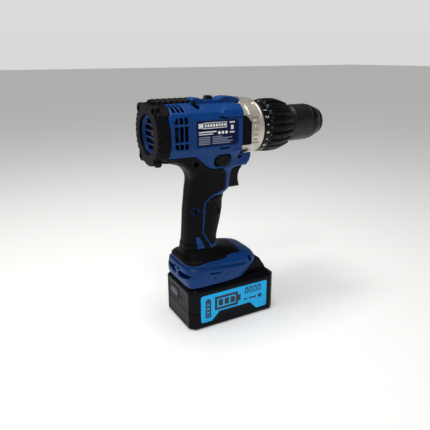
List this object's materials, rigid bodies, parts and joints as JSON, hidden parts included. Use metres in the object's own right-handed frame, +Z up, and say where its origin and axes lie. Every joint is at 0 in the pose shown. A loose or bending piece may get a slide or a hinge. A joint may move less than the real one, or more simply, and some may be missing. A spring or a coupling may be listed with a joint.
{
  "type": "cordless drill driver",
  "caption": "Pistol-grip cordless drill driver with keyless chuck, torque collar, planetary gearbox and slide-on battery pack.",
  "frame": {"origin": "centre of the battery pack's flat underside, on the surface the tool stands on", "axes": "+Z up, +X forward out of the chuck, +Y to the tool's left side"},
  "size_m": [0.228, 0.0726, 0.2664],
  "materials": {
    "housing_blue": "fine spark-eroded grain, semi-matt",
    "rubber_black": "matt over-moulded elastomer",
    "plastic_black": "semi-matt glass-filled nylon",
    "pack_black": "semi-matt with fine grain",
    "plastic_grey": "matt",
    "gear_case_alloy": "cast alloy with a satin warm-grey coat",
    "steel": "machined, lightly oiled",
    "chuck_steel": "black oxide, polished nose",
    "chuck_grey": "dark grey satin sleeve",
    "copper": "varnished copper windings and laminated core",
    "cell_wrap": "shrink-wrapped cell cans",
    "board_green": "coated circuit board",
    "lens_clear": "clear lens",
    "label_blue": "printed film, bright cyan blue",
    "label_print": "white print"
  },
  "bodies": {
    "housing": {"housing_right": "housing_blue", "housing_left": "housing_blue", "grip_right": "rubber_black", "grip_left": "rubber_black", "finger_pad": "rubber_black", "side_pad_left": "rubber_black", "side_pad_right": "rubber_black", "top_pad": "rubber_black", "rear_bumper": "rubber_black", "rear_grille": "housing_blue", "motor_can": "steel", "motor_magnet_left": "plastic_grey", "motor_magnet_right": "plastic_grey", "motor_end_cap": "plastic_black", "ring_gear_1": "steel", "ring_gear_3": "steel", "gear_case": "gear_case_alloy", "clutch_plate": "steel", "clutch_spring": "steel", "spindle_bearing": "steel", "switch_body": "plastic_black", "trigger_spring": "steel", "led_lens": "lens_clear", "terminal_block": "plastic_black"},
    "rotor": {"armature": "copper", "motor_fan": "plastic_grey", "pinion": "steel"},
    "first_carrier": {"carrier_1": "steel"},
    "second_carrier": {"carrier_2": "steel"},
    "spindle": {"spindle": "steel", "chuck_body": "chuck_steel", "chuck_screw": "steel"},
    "chuck_sleeve": {"chuck_sleeve": "chuck_grey", "chuck_nut": "steel"},
    "jaw_1": {"chuck_jaw_1": "steel"},
    "jaw_2": {"chuck_jaw_2": "steel"},
    "jaw_3": {"chuck_jaw_3": "steel"},
    "planet_1_1": {"planet_1_1": "steel"},
    "planet_1_2": {"planet_1_2": "steel"},
    "planet_1_3": {"planet_1_3": "steel"},
    "planet_2_1": {"planet_2_1": "steel"},
    "planet_2_2": {"planet_2_2": "steel"},
    "planet_2_3": {"planet_2_3": "steel"},
    "planet_3_1": {"planet_3_1": "steel"},
    "planet_3_2": {"planet_3_2": "steel"},
    "planet_3_3": {"planet_3_3": "steel"},
    "torque_collar": {"torque_collar": "plastic_black"},
    "clutch_nut": {"clutch_nut": "plastic_black"},
    "speed_selector": {"speed_selector": "plastic_black"},
    "speed_ring": {"ring_gear_2": "steel"},
    "trigger": {"trigger": "plastic_black"},
    "direction_button": {"direction_button": "plastic_black"},
    "battery_pack": {"pack_base": "pack_black", "pack_cover": "pack_black", "cell_row_lower": "cell_wrap", "cell_row_upper": "cell_wrap", "pack_board": "board_green", "release_spring": "steel", "gauge_panel": "plastic_grey"},
    "release_button": {"release_button": "plastic_black"}
  },
  "joints": [
    {"name": "spindle_spin", "type": "hinge", "parent": "housing", "child": "spindle", "pos_m": [0, 0, 0.229], "axis": [1, 0, 0], "continuous": true},
    {"name": "rotor_spin", "type": "hinge", "parent": "housing", "child": "rotor", "pos_m": [0, 0, 0.229], "axis": [1, 0, 0], "continuous": true},
    {"name": "first_carrier_spin", "type": "hinge", "parent": "housing", "child": "first_carrier", "pos_m": [0, 0, 0.229], "axis": [1, 0, 0], "continuous": true},
    {"name": "second_carrier_spin", "type": "hinge", "parent": "housing", "child": "second_carrier", "pos_m": [0, 0, 0.229], "axis": [1, 0, 0], "continuous": true},
    {"name": "planet_1_1_spin", "type": "hinge", "parent": "first_carrier", "child": "planet_1_1", "pos_m": [0, 0.0102, 0.229], "axis": [1, 0, 0], "continuous": true},
    {"name": "planet_1_2_spin", "type": "hinge", "parent": "first_carrier", "child": "planet_1_2", "pos_m": [0, -0.0051, 0.23783], "axis": [1, 0, 0], "continuous": true},
    {"name": "planet_1_3_spin", "type": "hinge", "parent": "first_carrier", "child": "planet_1_3", "pos_m": [0, -0.0051, 0.22017], "axis": [1, 0, 0], "continuous": true},
    {"name": "planet_2_1_spin", "type": "hinge", "parent": "second_carrier", "child": "planet_2_1", "pos_m": [0, 0.0102, 0.229], "axis": [1, 0, 0], "continuous": true},
    {"name": "planet_2_2_spin", "type": "hinge", "parent": "second_carrier", "child": "planet_2_2", "pos_m": [0, -0.0051, 0.23783], "axis": [1, 0, 0], "continuous": true},
    {"name": "planet_2_3_spin", "type": "hinge", "parent": "second_carrier", "child": "planet_2_3", "pos_m": [0, -0.0051, 0.22017], "axis": [1, 0, 0], "continuous": true},
    {"name": "planet_3_1_spin", "type": "hinge", "parent": "spindle", "child": "planet_3_1", "pos_m": [0, 0.0102, 0.229], "axis": [1, 0, 0], "continuous": true},
    {"name": "planet_3_2_spin", "type": "hinge", "parent": "spindle", "child": "planet_3_2", "pos_m": [0, -0.0051, 0.23783], "axis": [1, 0, 0], "continuous": true},
    {"name": "planet_3_3_spin", "type": "hinge", "parent": "spindle", "child": "planet_3_3", "pos_m": [0, -0.0051, 0.22017], "axis": [1, 0, 0], "continuous": true},
    {"name": "chuck_sleeve_turn", "type": "hinge", "parent": "spindle", "child": "chuck_sleeve", "pos_m": [0, 0, 0.229], "axis": [1, 0, 0], "range_deg": [-1600, 2470]},
    {"name": "jaw_1_slide", "type": "slide", "parent": "spindle", "child": "jaw_1", "axis": [0.9659, 0, -0.2588], "range_m": [-0.009, 0.0138]},
    {"name": "jaw_2_slide", "type": "slide", "parent": "spindle", "child": "jaw_2", "axis": [0.9659, 0.2241, 0.1294], "range_m": [-0.009, 0.0138]},
    {"name": "jaw_3_slide", "type": "slide", "parent": "spindle", "child": "jaw_3", "axis": [0.9659, -0.2241, 0.1294], "range_m": [-0.009, 0.0138]},
    {"name": "torque_collar_turn", "type": "hinge", "parent": "housing", "child": "torque_collar", "pos_m": [0, 0, 0.229], "axis": [1, 0, 0], "range_deg": [0, 300]},
    {"name": "clutch_nut_slide", "type": "slide", "parent": "torque_collar", "child": "clutch_nut", "axis": [1, 0, 0], "range_m": [-0.006, 0], "deforming": ["clutch_spring"]},
    {"name": "speed_selector_slide", "type": "slide", "parent": "housing", "child": "speed_selector", "axis": [1, 0, 0], "range_m": [-0.0043, 0]},
    {"name": "speed_ring_slide", "type": "slide", "parent": "housing", "child": "speed_ring", "axis": [1, 0, 0], "range_m": [-0.0043, 0]},
    {"name": "trigger_pull", "type": "slide", "parent": "housing", "child": "trigger", "axis": [-1, 0, 0], "range_m": [0, 0.007], "stiffness_N_per_m": 900, "springref_m": -0.004, "deforming": ["trigger_spring"]},
    {"name": "direction_slide", "type": "slide", "parent": "housing", "child": "direction_button", "axis": [0, 1, 0], "range_m": [-0.003, 0.003]},
    {"name": "pack_slide", "type": "slide", "parent": "housing", "child": "battery_pack", "axis": [1, 0, 0], "range_m": [0, 0.085]},
    {"name": "release_press", "type": "slide", "parent": "battery_pack", "child": "release_button", "axis": [-1, 0, 0], "range_m": [0, 0.0035], "stiffness_N_per_m": 1500, "springref_m": -0.002, "deforming": ["release_spring"]}
  ],
  "couplings": [
    {"joint": "rotor_spin", "follows": "spindle_spin", "ratio": 64},
    {"joint": "first_carrier_spin", "follows": "spindle_spin", "ratio": 16},
    {"joint": "second_carrier_spin", "follows": "spindle_spin", "ratio": 4},
    {"joint": "planet_1_1_spin", "follows": "spindle_spin", "ratio": -48},
    {"joint": "planet_1_2_spin", "follows": "spindle_spin", "ratio": -48},
    {"joint": "planet_1_3_spin", "follows": "spindle_spin", "ratio": -48},
    {"joint": "planet_2_1_spin", "follows": "spindle_spin", "ratio": -12},
    {"joint": "planet_2_2_spin", "follows": "spindle_spin", "ratio": -12},
    {"joint": "planet_2_3_spin", "follows": "spindle_spin", "ratio": -12},
    {"joint": "planet_3_1_spin", "follows": "spindle_spin", "ratio": -3},
    {"joint": "planet_3_2_spin", "follows": "spindle_spin", "ratio": -3},
    {"joint": "planet_3_3_spin", "follows": "spindle_spin", "ratio": -3},
    {"joint": "jaw_1_slide", "follows": "chuck_sleeve_turn", "m_per_rad": 0.00031831},
    {"joint": "jaw_2_slide", "follows": "chuck_sleeve_turn", "m_per_rad": 0.00031831},
    {"joint": "jaw_3_slide", "follows": "chuck_sleeve_turn", "m_per_rad": 0.00031831},
    {"joint": "clutch_nut_slide", "follows": "torque_collar_turn", "m_per_rad": -0.0011},
    {"joint": "speed_ring_slide", "follows": "speed_selector_slide", "ratio": 1}
  ]
}
